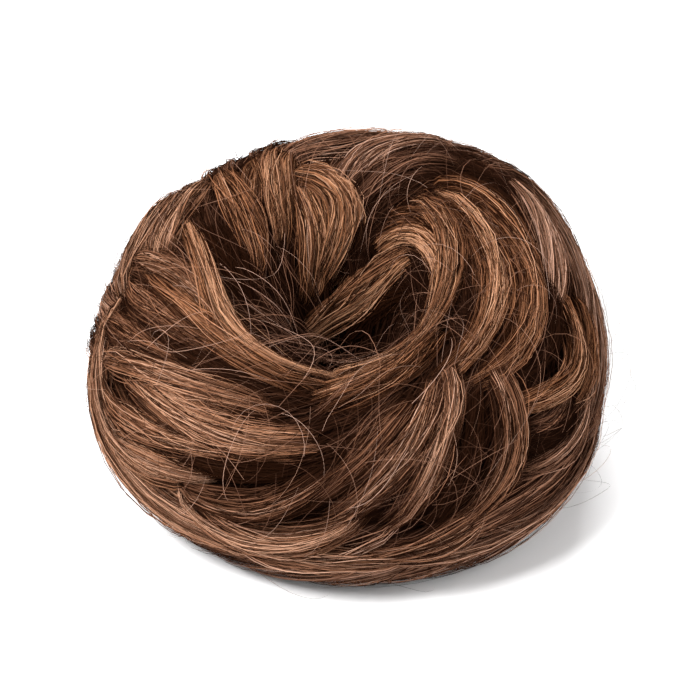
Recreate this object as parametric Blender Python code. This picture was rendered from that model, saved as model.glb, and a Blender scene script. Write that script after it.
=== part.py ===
"""Top knot hairpiece: curled locks of hair fused round a ring, on an elastic band.

The bun lies on its base with the hole upright. A place on it is given by turn, the angle round
the hole from +X, and rise, the angle round the ring's own section: 0 is the outer waist, 90 the
crest, 180 the wall of the hole and 270 the base. Metres, +Z up, origin at the base's centre.
"""

import math
from collections import namedtuple

import bmesh
import bpy
from mathutils import Vector

# Driving sizes of the bun
HOLE_RADIUS = 0.0100
WAIST_HEIGHT = 0.022
BELLY_DROP = 0.0275
RING_CENTRE = Vector((-0.0002, -0.0045, 0.0))

# The bun's own outline, a row for every eighth of a round from +X, in millimetres: how far its
# outer side is from the hole's axis, and how high its crest is
Form = namedtuple("Form", "outer crest")
FORMS = [
    Form(69.0, 62.0),
    Form(72.5, 70.5),
    Form(71.5, 71.0),
    Form(70.5, 68.5),
    Form(68.5, 62.0),
    Form(65.5, 56.0),
    Form(62.0, 53.5),
    Form(66.0, 56.0),
]

# The elastic band lies in the lower corner of the hole's wall
BAND_RADIUS = 0.0185
BAND_THICKNESS = 0.0042
BAND_HEIGHT = 0.0068

# Clearances, and the fineness of the solids
SEAT_GAP = 0.0003
CORE_INSET = 0.0040
VOXEL = 0.0014
RING_TRIANGLES = 4700
LOCK_SECTIONS = 16
LOCK_SIDES = 10
CORE_TURNS = 72
CORE_SIDES = 28
BAND_TURNS = 40
BAND_SIDES = 10
EVEN_ROUNDS = 2
SHARP_ANGLE = math.radians(50)
FLOOR_SPAN = 0.30
FLOOR_DEPTH = 0.05

# How a lock tapers to its root and tip, and tucks them in, as shares of its full width and depth
TIP_WIDTH = 0.30
TIP_DEPTH = 0.60
TIP_TUCK = 0.45
SWELL_POWER = 0.7
ARCH_POWER = 0.6

# One row for each lock. turns and rises are degrees at its root, one third, two thirds and tip,
# width and depth are millimetres across and through it, proud is how far it stands out, and
# roll tips it about its own length, so that one edge lies over its neighbour.
Lock = namedtuple("Lock", "name turns rises width depth proud roll")

# Locks that lie loose on top of the ring, from the uppermost down
LOOSE_LOCKS = [
    Lock("swirl_lock", (66, 12, -46, -112), (112, 111, 114, 72), 14.0, 8.5, 1.5, -14),
    Lock("crown_lock", (113, 105, 108, 146), (30, 80, 118, 150), 22.0, 10.0, 1.8, 6),
    Lock("arc_lock", (57, 16, -27, -62), (104, 92, 87, 90), 13.0, 8.0, 1.3, -14),
    Lock("side_lock", (53, 18, -11, -33), (91, 72, 66, 78), 14.0, 8.0, 1.1, -12),
    Lock("hook_lock", (6, -13, -29, -47), (54, 42, 40, 58), 12.0, 7.5, 1.1, -10),
    Lock("left_sweep_lock", (150, 179, 214, 258), (56, 95, 103, 104), 13.0, 8.5, 1.5, 10),
    Lock("back_left_lock", (129, 137, 149, 171), (38, 80, 106, 132), 13.0, 8.5, 1.5, 4),
    Lock("tongue_lock", (165, 108, 58, 34), (156, 157, 148, 122), 13.0, 7.0, 0.6, 0),
]

# Locks fused to the ring, where the bun is looked at
FUSED_LOCKS = [
    Lock("left_rise", (165, 195, 221, 258), (35, 62, 80, 92), 13.0, 8.5, 0.2, 8),
    Lock("left_bright", (172, 205, 232, 265), (20, 47, 67, 90), 9.5, 8.5, 1.2, 8),
    Lock("left_broad", (188, 218, 245, 281), (28, 44, 52, 82), 14.0, 9.0, 1.0, 8),
    Lock("left_loop", (178, 208, 238, 272), (10, 24, 38, 66), 8.5, 8.0, 0.8, 8),
    Lock("left_thin", (194, 214, 236, 262), (4, 14, 28, 44), 6.0, 7.0, 0.4, 8),
    Lock("front_dip", (212, 236, 259, 286), (6, 16, 30, 80), 10.0, 8.0, 0.4, 8),
    Lock("front_low", (222, 246, 269, 291), (2, 3, 19, 70), 9.5, 8.5, 1.0, 8),
    Lock("rim_left", (168, 200, 232, 274), (6, -8, -9, -14), 13.0, 9.0, 0.6, 6),
    Lock("fan_grey", (312, 297, 282, 262), (88, 64, 42, 13), 11.0, 8.5, 0.8, -6),
    Lock("fan_bright", (313, 302, 293, 275), (86, 60, 35, 3), 7.0, 8.0, 1.0, -6),
    Lock("fan_dark", (321, 308, 298, 280), (80, 52, 27, 0), 12.0, 8.0, -0.4, -6),
    Lock("fan_right", (323, 313, 303, 282), (66, 42, 22, -2), 8.5, 8.0, 1.0, -6),
    Lock("fan_lower", (325, 313, 302, 278), (50, 31, 14, -7), 8.5, 8.0, 0.4, -6),
    Lock("lower_hook", (-9, -24, -38, -52), (32, 22, 18, 29), 8.0, 7.5, 1.2, -10),
    Lock("right_low", (332, 317, 300, 274), (14, 8, 0, -9), 10.0, 8.5, 0.2, -6),
    Lock("rim_right", (2, -27, -58, -96), (12, -8, -8, -12), 13.0, 9.0, 0.6, -6),
    Lock("right_outer", (57, 28, -2, -30), (88, 57, 46, 38), 13.0, 8.5, 0.6, -10),
    Lock("right_rim", (72, 46, 20, -8), (62, 47, 33, 16), 14.0, 9.0, 0.8, -8),
    Lock("back_over", (98, 82, 66, 46), (106, 84, 64, 40), 13.0, 9.0, 1.2, -6),
    Lock("back_shade", (90, 74, 58, 40), (118, 100, 80, 55), 11.0, 8.0, -0.6, -6),
    Lock("crown_shade", (122, 133, 138, 156), (58, 92, 116, 142), 11.0, 7.5, -0.4, 0),
    Lock("left_rim_bulge", (130, 146, 160, 176), (40, 46, 47, 34), 14.0, 9.0, 1.4, 6),
    Lock("left_upper", (146, 165, 183, 214), (36, 62, 84, 104), 12.0, 8.0, 0.2, 6),
    Lock("left_lower", (158, 182, 206, 236), (22, 44, 66, 88), 12.0, 8.5, 0.6, 6),
    Lock("hole_left", (176, 196, 222, 262), (104, 124, 132, 124), 12.0, 7.0, -0.4, 4),
    Lock("hole_right", (70, 38, 6, -44), (138, 130, 130, 136), 10.0, 6.0, -0.8, 0),
]


def back_locks():
    """The rows of the far side, which turn the same way as those in front."""
    rows = []
    count, first, step = 11, 190, -14
    for i in range(count):
        turn = first + i * step
        turns = (turn, turn - 14, turn - 27, turn - 38)
        rises = (84 - 3 * (i % 3), 52, 20, -18)
        proud = 0.2 + 0.5 * (i % 3)
        rows.append(Lock(f"back_{i}", turns, rises, 18.0 - i % 2, 9.0, proud, -7))
    return rows


def side_locks():
    """Low rows that close the right flank and the skirt under the rim."""
    rows = []
    count, first = 24, 4
    for i in range(count):
        turn = first + i * 360 / count
        turns = (turn, turn - 9, turn - 18, turn - 27)
        rows.append(Lock(f"skirt_{i}", turns, (14, -12, -40, -66), 19.0, 8.5, 0.0, -4))
    return rows


def hole_locks():
    """Rows that line the hole, down to the elastic band."""
    rows = []
    count = 10
    for i in range(count):
        turn = i * 360 / count
        turns = (turn, turn + 10, turn + 22, turn + 34)
        rows.append(Lock(f"lining_{i}", turns, (118, 146, 176, 208), 10.0, 6.5, -0.4, 0))
    return rows


def form_at(turn):
    """Outer radius and crest height in metres at a turn, smoothly through the rows of FORMS."""
    place = (turn / (2 * math.pi) % 1.0) * len(FORMS)
    row, t = int(place), place % 1.0
    before, low, high, after = [FORMS[(row + k) % len(FORMS)] for k in (-1, 0, 1, 2)]
    found = []
    for a, b, c, d in zip(before, low, high, after):
        bend = (2 * a - 5 * b + 4 * c - d) * t + (3 * b - a - 3 * c + d) * t * t
        found.append((b + (c - a + bend) * t / 2) / 1000)
    return found


def bun_point(turn, rise, lift=0.0):
    """A point lift outside the bun's outer form. turn and rise are in radians."""
    outer, crest = form_at(turn)
    middle = (outer + HOLE_RADIUS) / 2
    tall = crest - WAIST_HEIGHT if math.sin(rise) > 0 else BELLY_DROP
    radius = middle + (outer - middle + lift) * math.cos(rise)
    height = WAIST_HEIGHT + (tall + lift) * math.sin(rise)
    return RING_CENTRE + Vector((radius * math.cos(turn), radius * math.sin(turn), height))


def bun_normal(turn, rise):
    """The way out of the bun's form there."""
    step = 0.001
    along_turn = bun_point(turn + step, rise) - bun_point(turn - step, rise)
    along_rise = bun_point(turn, rise + step) - bun_point(turn, rise - step)
    return along_turn.cross(along_rise).normalized()


def through(values, t):
    """The smooth curve through four evenly spaced values, at t from 0 to 1."""
    total = 0.0
    for i, value in enumerate(values):
        weight = 1.0
        for j in range(4):
            if j != i:
                weight *= (3 * t - j) / (i - j)
        total += value * weight
    return total


def lock_place(lock, t):
    """Turn, rise and the lock's middle point, t of the way along it."""
    turn = math.radians(through(lock.turns, t))
    rise = math.radians(through(lock.rises, t))
    arch = math.sin(math.pi * min(max(t, 0.0), 1.0)) ** ARCH_POWER
    lift = lock.proud - lock.depth / 2 - (1 - arch) * lock.depth * TIP_TUCK
    return turn, rise, bun_point(turn, rise, lift / 1000)


def lock_section(lock, t, grow):
    """The lens-shaped outline of the lock at t, grown all round by grow."""
    step = 0.01
    turn, rise, centre = lock_place(lock, t)
    ahead = lock_place(lock, t + step)[2] - lock_place(lock, t - step)[2]
    ahead.normalize()
    out = bun_normal(turn, rise)
    out = (out - ahead * out.dot(ahead)).normalized()
    across = ahead.cross(out)
    roll = math.radians(lock.roll)
    side = across * math.cos(roll) + out * math.sin(roll)
    up = out * math.cos(roll) - across * math.sin(roll)
    swell = math.sin(math.pi * min(max(t, 0.02), 0.98)) ** SWELL_POWER
    half_width = lock.width / 2000 * (TIP_WIDTH + (1 - TIP_WIDTH) * swell) + grow
    half_depth = lock.depth / 2000 * (TIP_DEPTH + (1 - TIP_DEPTH) * swell) + grow
    points = []
    for i in range(LOCK_SIDES):
        angle = 2 * math.pi * i / LOCK_SIDES
        points.append(
            centre + side * half_width * math.cos(angle) + up * half_depth * math.sin(angle)
        )
    return points


def loft(bm, sections, closed=False):
    """Skins a row of outlines, with a cap at each end unless the row closes on itself."""
    rings = [[bm.verts.new(p) for p in section] for section in sections]
    pairs = list(zip(rings, rings[1:]))
    if closed:
        pairs.append((rings[-1], rings[0]))
    for low, high in pairs:
        for i in range(len(low)):
            j = (i + 1) % len(low)
            bm.faces.new((low[i], low[j], high[j], high[i]))
    if not closed:
        bm.faces.new(rings[0])
        bm.faces.new(rings[-1])


def add_lock(bm, lock, grow=0.0):
    """Lofts one lock along its length."""
    sections = []
    for i in range(LOCK_SECTIONS + 1):
        t = i / LOCK_SECTIONS
        sections.append(lock_section(lock, t, grow))
    if grow:
        overshoot = (sections[0][0] - sections[1][0]).normalized() * grow
        sections[0] = [p + overshoot for p in sections[0]]
        overshoot = (sections[-1][0] - sections[-2][0]).normalized() * grow
        sections[-1] = [p + overshoot for p in sections[-1]]
    loft(bm, sections)


def add_ring(bm, point_of, turns, sides):
    """Lofts a closed ring. point_of takes turn and the angle round the section."""
    sections = []
    for i in range(turns):
        turn = 2 * math.pi * i / turns
        sections.append([point_of(turn, 2 * math.pi * j / sides) for j in range(sides)])
    loft(bm, sections, closed=True)


def band_point(turn, angle, grow=0.0):
    """A point on the elastic band's surface."""
    thick = BAND_THICKNESS / 2 + grow
    radius = BAND_RADIUS + thick * math.cos(angle)
    height = BAND_HEIGHT + thick * math.sin(angle)
    return RING_CENTRE + Vector((radius * math.cos(turn), radius * math.sin(turn), height))


def new_object(name, bm, material=None, helper=False):
    """Makes an object of the mesh, with its faces pointing out."""
    bmesh.ops.recalc_face_normals(bm, faces=bm.faces)
    mesh = bpy.data.meshes.new(name)
    bm.to_mesh(mesh)
    bm.free()
    obj = bpy.data.objects.new(name, mesh)
    bpy.context.scene.collection.objects.link(obj)
    if material:
        mesh.materials.append(material)
    if helper:
        obj.hide_render = True
        obj.display_type = "WIRE"
    return obj


def bake_modifiers(obj):
    """Replaces the object's mesh with the one its modifiers give."""
    graph = bpy.context.evaluated_depsgraph_get()
    graph.update()
    mesh = bpy.data.meshes.new_from_object(obj.evaluated_get(graph))
    obj.modifiers.clear()
    obj.data = mesh


def cut(obj, cutter):
    """Takes the cutter's form out of the object."""
    modifier = obj.modifiers.new("cut", "BOOLEAN")
    modifier.operation = "DIFFERENCE"
    modifier.solver = "EXACT"
    modifier.object = cutter
    bake_modifiers(obj)


def keep_largest(obj):
    """Drops the crumbs that a cut leaves beside the main body."""
    bm = bmesh.new()
    bm.from_mesh(obj.data)
    bm.faces.ensure_lookup_table()
    groups = []
    seen = set()
    for face in bm.faces:
        if face.index in seen:
            continue
        group, queue = [], [face]
        seen.add(face.index)
        while queue:
            here = queue.pop()
            group.append(here)
            for edge in here.edges:
                for other in edge.link_faces:
                    if other.index not in seen:
                        seen.add(other.index)
                        queue.append(other)
        groups.append(group)
    groups.sort(key=lambda g: sum(f.calc_area() for f in g))
    crumbs = [face for group in groups[:-1] for face in group]
    bmesh.ops.delete(bm, geom=crumbs, context="FACES")
    bm.to_mesh(obj.data)
    bm.free()


def hair_material(name, colour, roughness):
    """A plain finish for the solids."""
    material = bpy.data.materials.new(name)
    material.use_nodes = True
    shader = material.node_tree.nodes["Principled BSDF"]
    shader.inputs["Base Color"].default_value = (*colour, 1)
    shader.inputs["Roughness"].default_value = roughness
    shader.inputs["Metallic"].default_value = 0.0
    material.diffuse_color = (*colour, 1)
    return material


def shade(obj):
    """Smooth faces, with an edge only where the solid was cut."""
    obj.data.shade_smooth()
    obj.data.set_sharp_from_angle(angle=SHARP_ANGLE)


def make_ring(material):
    """The ring of hair: a backing ring and its locks, fused into one body."""
    bm = bmesh.new()
    add_ring(bm, lambda turn, rise: bun_point(turn, rise, -CORE_INSET), CORE_TURNS, CORE_SIDES)
    for lock in FUSED_LOCKS + back_locks() + side_locks() + hole_locks():
        add_lock(bm, lock)
    ring = new_object("hair_ring", bm, material)
    fuse = ring.modifiers.new("fuse", "REMESH")
    fuse.mode = "VOXEL"
    fuse.voxel_size = VOXEL
    even = ring.modifiers.new("even", "SMOOTH")
    even.factor = 0.5
    even.iterations = EVEN_ROUNDS
    bake_modifiers(ring)
    thin = ring.modifiers.new("thin", "DECIMATE")
    thin.ratio = RING_TRIANGLES / (2 * len(ring.data.polygons))
    bake_modifiers(ring)
    return ring


def make_floor_cutter():
    """A block under the base, whose top is the plane that the bun rests on."""
    bm = bmesh.new()
    bmesh.ops.create_cube(bm, size=1.0)
    for vert in bm.verts:
        side = vert.co.xy * FLOOR_SPAN
        vert.co = Vector((side.x, side.y, (vert.co.z - 0.5) * FLOOR_DEPTH))
    return new_object("floor_cutter", bm, helper=True)


def make_loose_lock(lock, material, above):
    """A lock that lies on the ring, cut clear of the locks that cross over it."""
    bm = bmesh.new()
    add_lock(bm, lock)
    obj = new_object(lock.name, bm, material)
    for cutter in above:
        cut(obj, cutter)
    if above:
        keep_largest(obj)
    return obj


def make_cutter(lock):
    """The lock's form with its seating gap."""
    bm = bmesh.new()
    add_lock(bm, lock, SEAT_GAP)
    return new_object(f"{lock.name}_cutter", bm, helper=True)


def make_band(material):
    """The elastic band, and a cutter for the channel that it lies in."""
    bm = bmesh.new()
    add_ring(bm, band_point, BAND_TURNS, BAND_SIDES)
    band = new_object("elastic_band", bm, material)
    bm = bmesh.new()
    add_ring(bm, lambda turn, angle: band_point(turn, angle, SEAT_GAP), BAND_TURNS, BAND_SIDES)
    return band, new_object("band_cutter", bm, helper=True)


def main():
    for obj in list(bpy.data.objects):
        bpy.data.objects.remove(obj)
    brown = hair_material("hair_brown", (0.11, 0.052, 0.028), 0.5)
    caramel = hair_material("hair_caramel", (0.27, 0.13, 0.062), 0.45)
    elastic = hair_material("elastic_black", (0.02, 0.018, 0.017), 0.8)
    band, band_cutter = make_band(elastic)
    ring = make_ring(brown)
    cutters = []
    shown = [band, ring]
    for lock in LOOSE_LOCKS:
        shown.append(make_loose_lock(lock, caramel, cutters))
        cutters.append(make_cutter(lock))
    for cutter in [make_floor_cutter(), band_cutter] + cutters:
        cut(ring, cutter)
    keep_largest(ring)
    for obj in shown:
        shade(obj)


main()
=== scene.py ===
# %% [markdown]
# # A top knot hairpiece
# This lesson dresses the solids of a messy bun hairpiece. The real thing is a ring of false hair:
# locks of curled brown and caramel fibre, sewn round an elastic band. The solids hold its sizes and
# collisions; here every lock is made again as a bundle of strands that follows the same path.

import math
from collections import namedtuple

import bmesh
import bpy
import numpy as np
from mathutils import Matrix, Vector


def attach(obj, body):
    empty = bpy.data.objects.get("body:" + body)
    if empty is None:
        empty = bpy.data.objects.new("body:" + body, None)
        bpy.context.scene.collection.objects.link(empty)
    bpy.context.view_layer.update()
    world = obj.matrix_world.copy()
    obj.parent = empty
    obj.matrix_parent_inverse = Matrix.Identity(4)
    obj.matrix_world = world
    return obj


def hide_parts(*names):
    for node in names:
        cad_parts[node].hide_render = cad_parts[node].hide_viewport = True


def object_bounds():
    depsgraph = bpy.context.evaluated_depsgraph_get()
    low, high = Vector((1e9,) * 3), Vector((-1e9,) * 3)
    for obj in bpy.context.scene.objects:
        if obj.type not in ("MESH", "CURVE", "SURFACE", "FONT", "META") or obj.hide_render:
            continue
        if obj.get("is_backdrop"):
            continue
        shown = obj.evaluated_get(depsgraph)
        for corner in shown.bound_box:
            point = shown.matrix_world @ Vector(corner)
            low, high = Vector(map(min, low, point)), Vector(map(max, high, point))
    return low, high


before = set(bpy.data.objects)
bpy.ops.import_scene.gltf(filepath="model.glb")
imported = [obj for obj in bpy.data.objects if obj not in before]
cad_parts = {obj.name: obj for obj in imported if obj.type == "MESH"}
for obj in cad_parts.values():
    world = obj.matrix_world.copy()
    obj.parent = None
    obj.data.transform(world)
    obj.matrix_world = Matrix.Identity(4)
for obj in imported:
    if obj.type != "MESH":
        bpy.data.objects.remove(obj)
cad_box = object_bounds()
print("solids", sorted(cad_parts))

# %% [markdown]
# ## Camera
# The photograph looks down at the bun by 40 degrees with a long lens, so that the ring shows its
# hollow and hardly any perspective. The camera comes first, because every curl is judged through it.

# %% Camera
CAMERA_HEIGHT_ANGLE = math.radians(40)
CAMERA_DISTANCE = 1.0
CAMERA_LENS = 200
TARGET = Vector((0.0003, -0.0045, 0.0354))


def make_camera():
    data = bpy.data.cameras.new("camera")
    data.lens = CAMERA_LENS
    data.sensor_width = 36
    data.clip_start = 0.01
    camera = bpy.data.objects.new("camera", data)
    back = Vector((0, -math.cos(CAMERA_HEIGHT_ANGLE), math.sin(CAMERA_HEIGHT_ANGLE)))
    camera.location = TARGET + back * CAMERA_DISTANCE
    camera.rotation_euler = (math.pi / 2 - CAMERA_HEIGHT_ANGLE, 0, 0)
    bpy.context.scene.collection.objects.link(camera)
    bpy.context.scene.camera = camera


make_camera()
print("camera", CAMERA_DISTANCE, "m away, lens", CAMERA_LENS, "mm")

# %% [markdown]
# ## Light and floor
# A large soft key from the upper left, a weaker fill, a rim light from behind and a pale world give
# the even studio light of a product picture. The floor is plain and almost white, and keeps a soft
# shadow to the right.

# %% Light and floor
Light = namedtuple("Light", "name place size power")
LIGHTS = [
    Light("key", (-0.60, -0.40, 1.00), 0.45, 26.0),
    Light("fill", (0.90, -0.35, 0.70), 0.90, 8.0),
    Light("rim", (0.10, 0.80, 1.10), 0.60, 14.0),
]
WORLD_COLOUR = (1.0, 0.99, 0.98, 1)
WORLD_STRENGTH = 0.50
FLOOR_SIZE = 6.0
FLOOR_COLOUR = (0.90, 0.90, 0.905, 1)
FLOOR_ROUGHNESS = 0.7


def make_light(light):
    data = bpy.data.lights.new(light.name, "AREA")
    data.size = light.size
    data.energy = light.power
    lamp = bpy.data.objects.new(light.name, data)
    lamp.location = light.place
    lamp.rotation_euler = (Vector(light.place) - TARGET).to_track_quat("Z", "Y").to_euler()
    bpy.context.scene.collection.objects.link(lamp)


def make_world():
    world = bpy.data.worlds.new("studio")
    world.use_nodes = True
    background = world.node_tree.nodes["Background"]
    background.inputs["Color"].default_value = WORLD_COLOUR
    background.inputs["Strength"].default_value = WORLD_STRENGTH
    bpy.context.scene.world = world


def make_floor():
    bpy.ops.mesh.primitive_plane_add(size=FLOOR_SIZE, location=(0, 0, 0))
    floor = bpy.context.object
    floor.name = "floor"
    material = bpy.data.materials.new("floor")
    material.use_nodes = True
    shader = material.node_tree.nodes["Principled BSDF"]
    shader.inputs["Base Color"].default_value = FLOOR_COLOUR
    shader.inputs["Roughness"].default_value = FLOOR_ROUGHNESS
    floor.data.materials.append(material)
    floor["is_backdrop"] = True


for light in LIGHTS:
    make_light(light)
make_world()
make_floor()
bpy.context.scene.view_settings.view_transform = "Standard"
print("lights", [light.name for light in LIGHTS])

# %% [markdown]
# ## The form of the bun
# A place on the bun is a turn, the angle round the hole, and a rise, the angle round the ring's own
# section: 0 is the outer waist, 90 the crest, 180 the wall of the hole and 270 the base. The rows
# below follow the solids, a little inside them where the hair on top stands proud. A formula for
# the whole form lets every lock and stray be placed by two angles instead of by coordinates.

# %% The form of the bun
HOLE_RADIUS = 0.0100
WAIST_HEIGHT = 0.022
BELLY_DROP = 0.0275
RING_CENTRE = np.array((-0.0002, -0.0045, 0.0))
FORMS = np.array([
    # millimetres from the hole's axis to the outer side, and up to the crest, every 45 degrees
    (66.5, 63.0),
    (71.0, 73.0),
    (70.5, 69.0),
    (70.0, 67.0),
    (66.5, 62.0),
    (62.0, 56.0),
    (61.0, 53.5),
    (64.5, 56.0),
]) / 1000
FLOOR_CLEARANCE = 0.0003


def form_at(turn):
    """Outer radius and crest height at each turn, smoothly through the rows of FORMS."""
    place = (turn / (2 * np.pi) % 1.0) * len(FORMS)
    row = place.astype(int)
    t = (place - row)[..., None]
    a, b, c, d = [FORMS[(row + k) % len(FORMS)] for k in (-1, 0, 1, 2)]
    bend = (2 * a - 5 * b + 4 * c - d) * t + (3 * b - a - 3 * c + d) * t * t
    found = b + (c - a + bend) * t / 2
    return found[..., 0], found[..., 1]


def bun_points(turn, rise, lift):
    """Points lift outside the bun's outer form."""
    outer, crest = form_at(turn)
    middle = (outer + HOLE_RADIUS) / 2
    tall = np.where(np.sin(rise) > 0, crest - WAIST_HEIGHT, BELLY_DROP)
    radius = middle + (outer - middle + lift) * np.cos(rise)
    height = WAIST_HEIGHT + (tall + lift) * np.sin(rise)
    found = np.stack((radius * np.cos(turn), radius * np.sin(turn), height), -1)
    return found + RING_CENTRE


def unit(vectors):
    return vectors / np.linalg.norm(vectors, axis=-1, keepdims=True)


def bun_normals(turn, rise):
    """The way out of the bun's form."""
    step = 0.001
    along_turn = bun_points(turn + step, rise, 0) - bun_points(turn - step, rise, 0)
    along_rise = bun_points(turn, rise + step, 0) - bun_points(turn, rise - step, 0)
    return unit(np.cross(along_turn, along_rise))


print("crest", FORMS[:, 1].min(), "to", FORMS[:, 1].max(), "m high")

# %% [markdown]
# ## The locks
# Each row is one lock, read from the photograph: degrees of turn and rise at its root, one third,
# two thirds and tip, millimetres across and through it, how far it stands out, and its roll.
# Its three tones, from 0, dark brown, to 1, caramel, are for its left edge, its middle and its
# right edge, seen from outside along its run; below 0 it stays dark. The tones hold the hair's own
# colour and painted light too: a lock is lighter in its middle or on one edge as a painted
# highlight, darker at its edges as painted shade, and rows that lie in the shade between locks are
# painted dark. The first table has a list for each loose lock. The rest is the ring's own hair: its
# left, its front and its right.

# %% The locks
Lock = namedtuple("Lock", "name turns rises width depth proud roll tones")

LOOSE_LOCKS = {
    "swirl_lock": [
        Lock("swirl_main", (64, 16, -30, -84), (119, 114, 118, 104), 8.5, 6.5, 1.3, -10, (0.45, 0.9, 0.6)),
        Lock("swirl_hook", (74, 48, 18, -24), (140, 129, 122, 124), 6.0, 5.0, 0.6, -6, (0.5, 0.8, 0.7)),
        Lock("swirl_between", (66, 50, 30, 4), (128, 122, 118, 119), 6.0, 5.0, -0.2, 0, (0.3, 0.35, 0.3)),
        Lock("swirl_high", (-16, -48, -78, -104), (122, 121, 110, 104), 8.0, 6.5, 1.2, -6, (0.6, 0.85, 0.6)),
        Lock("swirl_middle", (-18, -50, -80, -112), (117, 115, 100, 84), 8.0, 6.5, 1.4, -6, (0.7, 0.9, 0.7)),
        Lock("swirl_low", (-22, -50, -78, -108), (112, 108, 92, 70), 8.0, 6.0, 1.0, -6, (0.4, 0.7, 0.6)),
    ],
    "crown_lock": [
        Lock("crown_right", (118, 97, 97, 140), (90, 112, 130, 156), 10.0, 7.0, 1.8, 6, (0.95, 0.75, 0.5)),
        Lock("crown_middle", (112, 112, 116, 140), (98, 118, 136, 158), 9.0, 6.0, 0.8, 0, (0.6, 0.7, 0.55)),
        Lock("crown_left", (108, 119, 129, 140), (66, 90, 108, 130), 13.0, 7.0, 1.2, 4, (0.55, 0.7, 0.55)),
    ],
    "arc_lock": [
        Lock("arc_main", (54, 14, -22, -66), (112, 97, 88, 84), 6.5, 6.0, 1.5, -12, (0.75, 0.85, 0.4)),
        Lock("arc_inner", (48, 20, -6, -30), (116, 105, 100, 98), 5.5, 5.0, 0.0, -8, (0.3, 0.3, 0.15)),
    ],
    "side_lock": [
        Lock("side_main", (36, 8, -20, -58), (95, 81, 69, 80), 7.0, 6.0, 1.3, -10, (0.8, 0.6, 0.35)),
        Lock("side_inner", (30, 6, -16, -38), (99, 88, 80, 80), 6.0, 5.0, 0.2, -8, (0.3, 0.3, 0.2)),
        Lock("side_upper", (54, 32, 8, -22), (107, 92, 77, 66), 7.0, 6.0, 0.8, -8, (0.5, 0.55, 0.4)),
    ],
    "hook_lock": [
        Lock("hook_main", (6, -12, -26, -52), (62, 41, 40, 58), 6.5, 6.0, 1.3, -10, (0.8, 0.75, 0.4)),
        Lock("hook_outer", (12, -4, -16, -30), (46, 34, 28, 30), 7.0, 6.0, 0.6, -8, (0.5, 0.5, 0.4)),
    ],
    "left_sweep_lock": [
        Lock("sweep_main", (148, 184, 226, 284), (68, 94, 93, 106), 7.0, 6.5, 1.6, 8, (0.6, 0.85, 0.7)),
        Lock("sweep_second", (166, 194, 222, 268), (54, 78, 87, 88), 6.5, 6.0, 1.2, 8, (0.5, 0.6, 0.4)),
    ],
    "back_left_lock": [
        Lock("back_left", (126, 139, 150, 172), (60, 92, 112, 124), 9.0, 7.0, 1.4, 4, (0.45, 0.75, 0.5)),
    ],
    "tongue_lock": [
        Lock("tongue_main", (168, 110, 60, 34), (162, 160, 148, 124), 10.0, 6.0, 0.8, 0, (0.6, 0.85, 0.8)),
        # tongue_low is painted shade: dark tones for the shade under the tongue.
        Lock("tongue_low", (120, 80, 40, 14), (172, 166, 152, 136), 7.0, 5.0, -0.4, 0, (0.1, 0.0, -0.2)),
    ],
}
LEFT_LOCKS = [
    Lock("left_bright", (178, 200, 222, 256), (16, 43, 59, 71), 7.5, 7.0, 1.2, 8, (0.5, 0.85, 0.6)),
    Lock("left_broad", (188, 214, 238, 270), (30, 43, 47, 64), 11.0, 7.5, 1.2, 8, (0.55, 0.75, 0.7)),
    Lock("left_loop", (180, 203, 224, 252), (20, 20, 30, 42), 6.5, 6.0, 1.0, 8, (0.5, 0.8, 0.6)),
    Lock("left_fold", (168, 188, 210, 234), (50, 17, 8, 20), 9.0, 7.0, 0.8, 6, (0.8, 0.9, 0.7)),
    Lock("left_thin", (190, 208, 222, 238), (-2, 10, 16, 24), 4.5, 5.0, 0.8, 8, (0.8, 0.95, 0.7)),
    # left_dark is painted shade: dark tones in the shade between locks.
    Lock("left_dark", (176, 198, 222, 258), (52, 66, 76, 84), 12.0, 7.0, -0.8, 8, (0.0, 0.05, 0.0)),
    Lock("left_upper", (160, 172, 187, 212), (42, 66, 84, 94), 9.0, 7.0, 1.0, 6, (0.45, 0.6, 0.45)),
    Lock("left_second", (168, 184, 200, 224), (44, 60, 72, 86), 9.0, 7.0, 0.5, 6, (0.5, 0.5, 0.3)),
    Lock("left_lower", (172, 186, 198, 218), (26, 42, 52, 66), 9.0, 7.0, 0.6, 6, (0.5, 0.45, 0.2)),
    Lock("left_bulge", (130, 146, 160, 176), (40, 50, 50, 36), 12.0, 8.0, 1.4, 6, (0.7, 0.85, 0.8)),
    Lock("left_back", (128, 144, 160, 176), (60, 66, 68, 66), 10.0, 7.0, 0.6, 6, (0.65, 0.75, 0.7)),
    # The next four rows are painted shade: dark tones in the shade between locks.
    Lock("left_shade", (152, 161, 171, 186), (88, 96, 106, 118), 9.0, 6.0, -0.2, 4, (-0.3, -0.2, -0.3)),
    Lock("left_pit", (150, 162, 178, 200), (92, 106, 116, 122), 12.0, 6.0, 0.2, 4, (-0.4, -0.4, -0.3)),
    Lock("left_gap", (206, 224, 240, 258), (38, 51, 56, 60), 4.0, 5.0, 0.2, 8, (-0.2, -0.2, -0.2)),
    Lock("front_gap", (212, 228, 244, 262), (22, 28, 33, 44), 4.5, 5.0, 0.2, 8, (-0.2, -0.2, -0.2)),
]
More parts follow.
